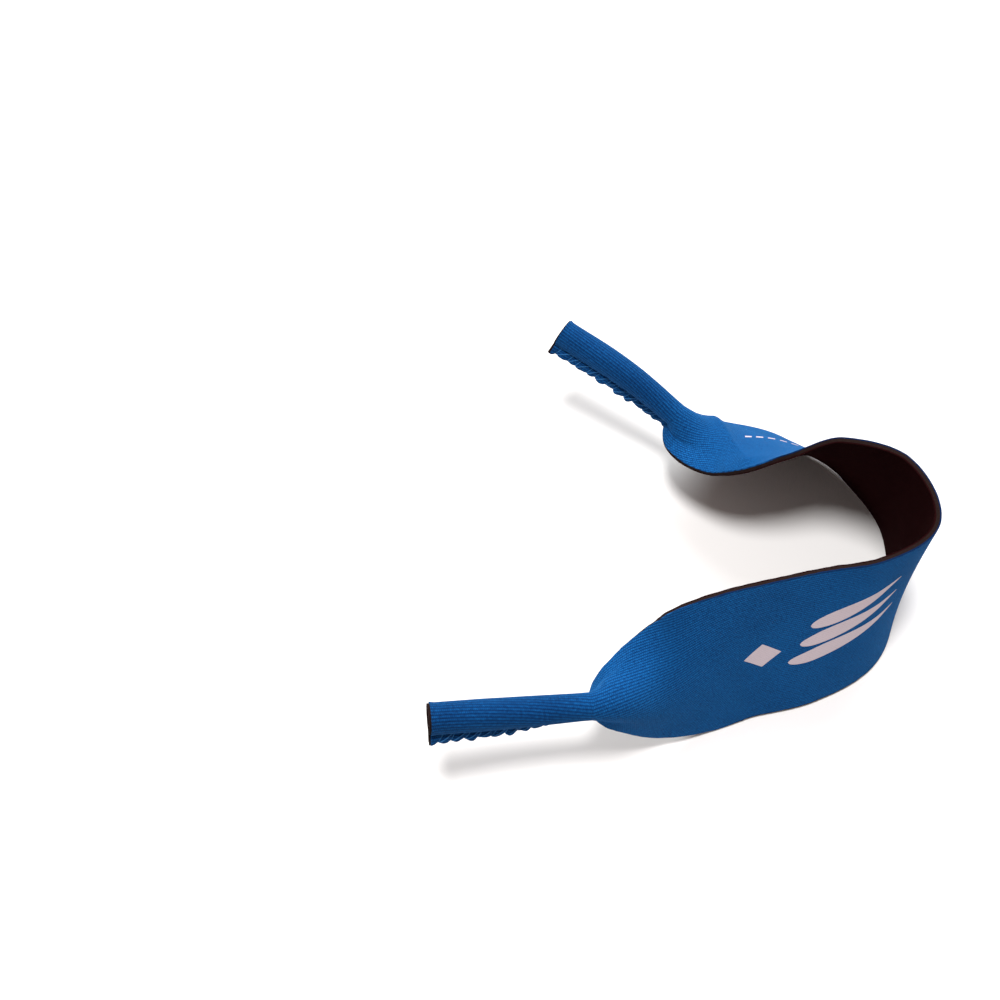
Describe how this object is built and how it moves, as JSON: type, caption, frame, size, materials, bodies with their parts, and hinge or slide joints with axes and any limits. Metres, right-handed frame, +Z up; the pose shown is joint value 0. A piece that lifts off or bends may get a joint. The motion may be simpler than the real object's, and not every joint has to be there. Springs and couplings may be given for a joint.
{
  "type": "eyeglass retainer strap",
  "caption": "Wide soft strap for the back of the head, with a stretchy sleeve at each end that grips an eyeglass temple arm.",
  "frame": {"origin": "on the table under the middle of the strap's bounding box, with the band standing on its lower edge", "axes": "+Z up, +X from the temple sockets towards the middle of the band, +Y towards the wearer's right"},
  "size_m": [0.1165, 0.1288, 0.0462],
  "materials": {
    "jersey": "ribbed knit",
    "foam": "cut sponge",
    "lining": "napped knit",
    "thread": "spun thread",
    "ink": "matte film"
  },
  "bodies": {
    "back": {"back_foam": "foam", "back_jersey": "jersey", "back_lining": "lining"},
    "left_band": {"left_band_foam": "foam", "left_band_jersey": "jersey", "left_band_lining": "lining", "left_print_mark": "ink", "left_print_stripes": "ink"},
    "right_band": {"right_band_foam": "foam", "right_band_jersey": "jersey", "right_band_lining": "lining", "right_print_dashes": "ink"},
    "left_sleeve": {"left_sleeve_foam": "foam", "left_sleeve_jersey": "jersey", "left_sleeve_lining": "lining", "left_seam_allowance": "jersey", "left_needle_thread": "thread", "left_upper_looper": "thread", "left_lower_looper": "thread"},
    "right_sleeve": {"right_sleeve_foam": "foam", "right_sleeve_jersey": "jersey", "right_sleeve_lining": "lining", "right_seam_allowance": "jersey", "right_needle_thread": "thread", "right_upper_looper": "thread", "right_lower_looper": "thread"}
  },
  "joints": [
    {"name": "left_flex", "type": "hinge", "parent": "back", "child": "left_band", "pos_m": [0.05304, 0.00779, 0.02271], "axis": [-0.1839, 0.0439, 0.982], "range_deg": [-20, 35], "stiffness_Nm_per_rad": 0.05},
    {"name": "right_flex", "type": "hinge", "parent": "back", "child": "right_band", "pos_m": [0.05282, 0.03134, 0.02311], "axis": [0.0866, 0.0267, -0.9959], "range_deg": [-20, 35], "stiffness_Nm_per_rad": 0.05},
    {"name": "left_neck", "type": "hinge", "parent": "left_band", "child": "left_sleeve", "pos_m": [-0.02143, -0.04565, 0.02634], "axis": [0.0808, 0.0327, 0.9962], "range_deg": [-25, 25], "stiffness_Nm_per_rad": 0.02},
    {"name": "right_neck", "type": "hinge", "parent": "right_band", "child": "right_sleeve", "pos_m": [-0.0173, 0.04821, 0.02256], "axis": [-0.2447, 0.0843, -0.9659], "range_deg": [-25, 25], "stiffness_Nm_per_rad": 0.02}
  ]
}
